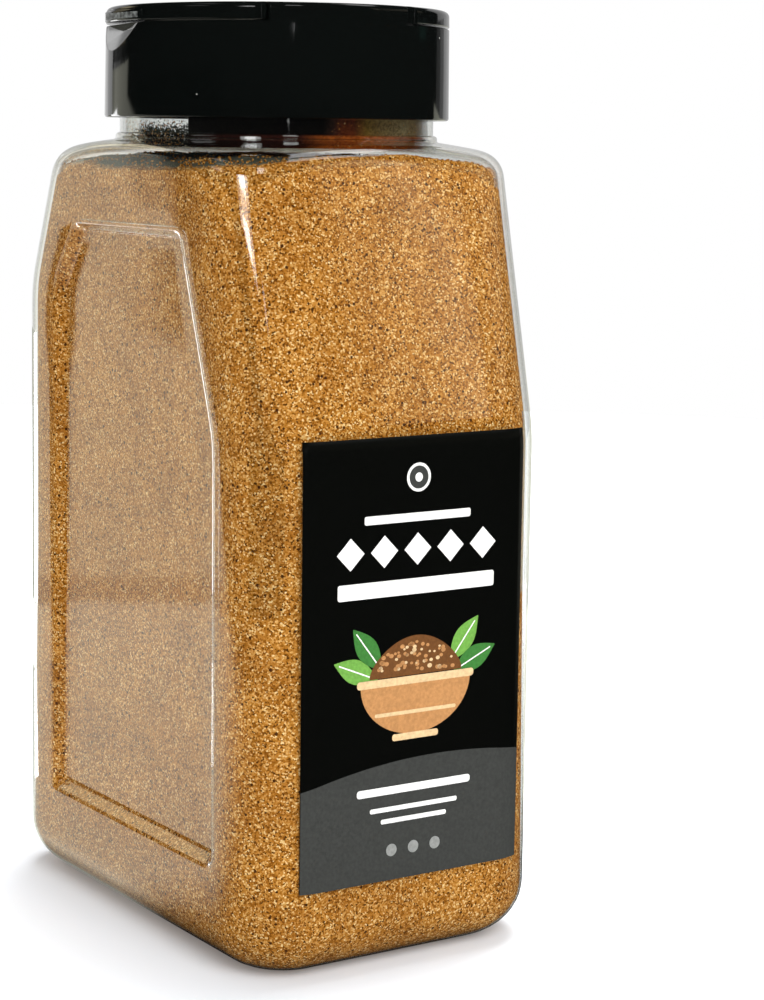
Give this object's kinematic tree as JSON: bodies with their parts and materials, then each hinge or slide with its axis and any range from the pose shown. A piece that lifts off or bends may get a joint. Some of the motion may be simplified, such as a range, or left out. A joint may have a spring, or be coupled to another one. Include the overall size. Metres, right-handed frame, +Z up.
{
  "type": "ground nutmeg",
  "caption": "Ground nutmeg filling a clear, grip-sided spice jar of near-rectangular section, with a dark label on the front and a black screw cap with hinged flaps.",
  "frame": {"origin": "middle of the jar's base, on the surface that it stands on", "axes": "+Z up the jar, -Y out of the labelled front, +X to the label's right as it is looked at"},
  "size_m": [0.0686, 0.1018, 0.1806],
  "materials": {
    "jar": "clear blown plastic, smooth and glossy",
    "ground_nutmeg": "fine dry powder, orange-brown with dark specks",
    "label": "printed paper film, near black, low sheen",
    "cap": "moulded black plastic, glossy"
  },
  "bodies": {
    "root": {"jar": "jar", "ground_nutmeg": "ground_nutmeg", "label": "label", "cap": "cap", "flap_left": "cap", "flap_right": "cap"}
  },
  "joints": []
}
